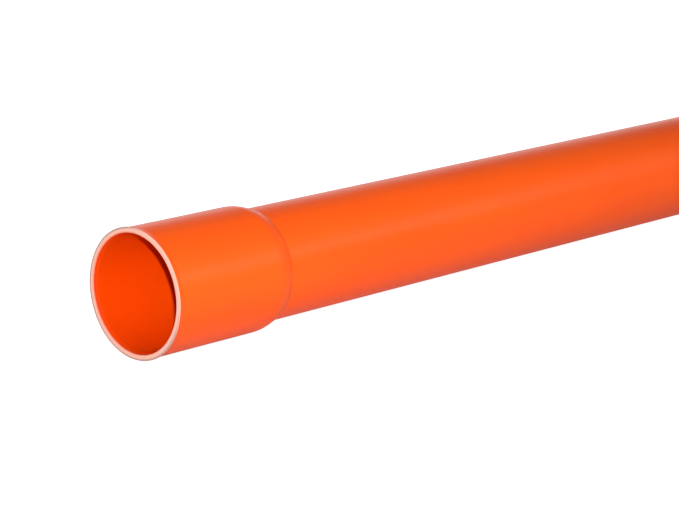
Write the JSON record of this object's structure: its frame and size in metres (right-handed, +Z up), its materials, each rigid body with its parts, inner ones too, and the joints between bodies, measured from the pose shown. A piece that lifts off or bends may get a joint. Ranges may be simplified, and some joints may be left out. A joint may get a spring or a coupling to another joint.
{
  "type": "cable protection pipe",
  "caption": "Straight orange plastic pipe with a socket formed on one end and a bevelled plain end, laid in the ground end to end to protect cables.",
  "frame": {"origin": "on the floor under the middle of the pipe's length, in the plane that its mouth's lip rests on", "axes": "+X along the pipe from the socket's mouth to the plain end, +Z up"},
  "size_m": [3, 0.1244, 0.124],
  "materials": {
    "orange_pvc": "extruded, satin to slightly glossy, with paler saw-cut end faces"
  },
  "bodies": {
    "root": {"pipe": "orange_pvc"}
  },
  "joints": []
}
